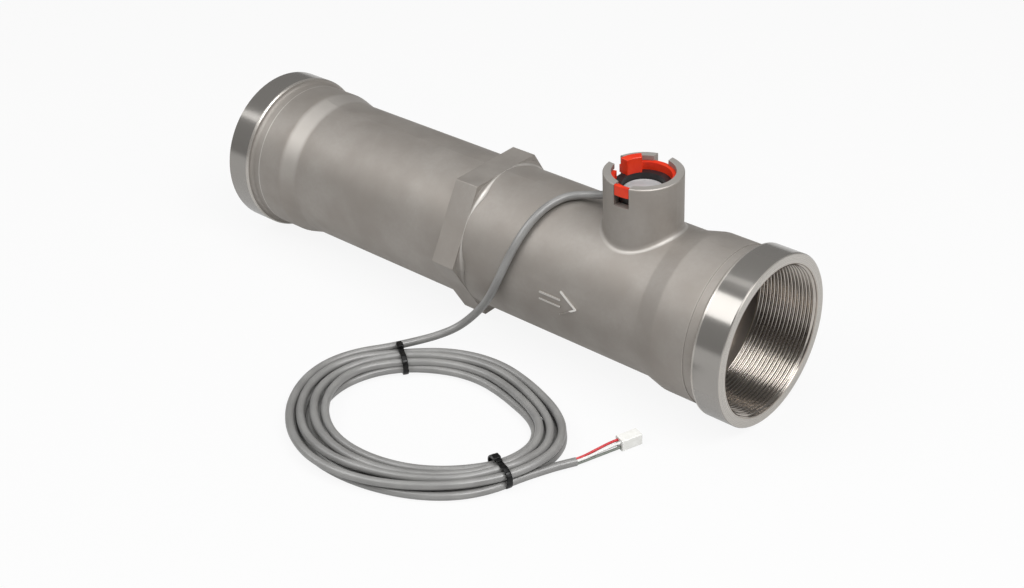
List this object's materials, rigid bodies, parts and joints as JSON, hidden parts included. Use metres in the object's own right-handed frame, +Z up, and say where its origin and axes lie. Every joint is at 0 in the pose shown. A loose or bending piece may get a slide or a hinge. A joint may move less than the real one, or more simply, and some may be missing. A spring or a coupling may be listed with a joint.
{
  "type": "turbine water meter",
  "caption": "Cast steel pipe meter with threaded ends, an axial turbine inside, and a clipped pulse probe whose grey cable lies coiled and ends in a small connector.",
  "frame": {"origin": "under the middle of the cast body, on the surface it lies on", "axes": "+X along the flow towards the outlet, +Z up through the probe socket"},
  "size_m": [0.386, 0.2404, 0.1275],
  "materials": {
    "cast_steel": "fine blasted casting, turned and polished at the ends",
    "spring_steel": "satin",
    "shaft_steel": "ground",
    "magnet": "nickel plated",
    "contact_tin": "tinned",
    "tinned_copper": "tinned",
    "bearing_ceramic": "polished",
    "flow_plastic": "satin moulded",
    "rotor_plastic": "satin moulded",
    "probe_black": "satin moulded",
    "cap_grey": "matte",
    "potting_resin": "cast resin",
    "board_green": "solder mask",
    "chip_black": "moulded",
    "seal_rubber": "matte",
    "relief_grey": "satin",
    "clip_red": "satin moulded",
    "cable_grey": "satin jacket",
    "tie_black": "moulded",
    "wire_red": "satin",
    "wire_white": "satin",
    "wire_black": "satin",
    "wire_green": "satin",
    "connector_white": "moulded"
  },
  "bodies": {
    "housing": {"meter_body": "cast_steel", "inlet_straightener": "flow_plastic", "inlet_snap_ring": "spring_steel", "front_bearing_carrier": "flow_plastic", "rear_bearing_carrier": "flow_plastic", "turbine_sleeve": "flow_plastic", "outlet_snap_ring": "spring_steel", "front_bushing": "bearing_ceramic", "rear_bushing": "bearing_ceramic", "front_thrust_pad": "bearing_ceramic", "rear_thrust_pad": "bearing_ceramic", "probe_body": "probe_black", "probe_o_ring": "seal_rubber", "probe_cap": "cap_grey", "probe_board": "board_green", "pulse_sensor": "chip_black", "probe_leads": "tinned_copper", "probe_potting": "potting_resin", "strain_relief": "relief_grey", "retaining_clip": "clip_red", "cable_lead": "cable_grey", "cable_coil": "cable_grey", "cable_tail": "cable_grey", "first_cable_tie": "tie_black", "second_cable_tie": "tie_black", "red_wire": "wire_red", "white_wire": "wire_white", "black_wire": "wire_black", "green_wire": "wire_green", "connector_housing": "connector_white", "connector_contacts": "contact_tin"},
    "rotor": {"turbine_rotor": "rotor_plastic", "rotor_magnets": "magnet", "turbine_shaft": "shaft_steel"}
  },
  "joints": [
    {"name": "rotor_spin", "type": "hinge", "parent": "housing", "child": "rotor", "pos_m": [0.1065, 0, 0.05], "axis": [1, 0, 0], "continuous": true}
  ]
}
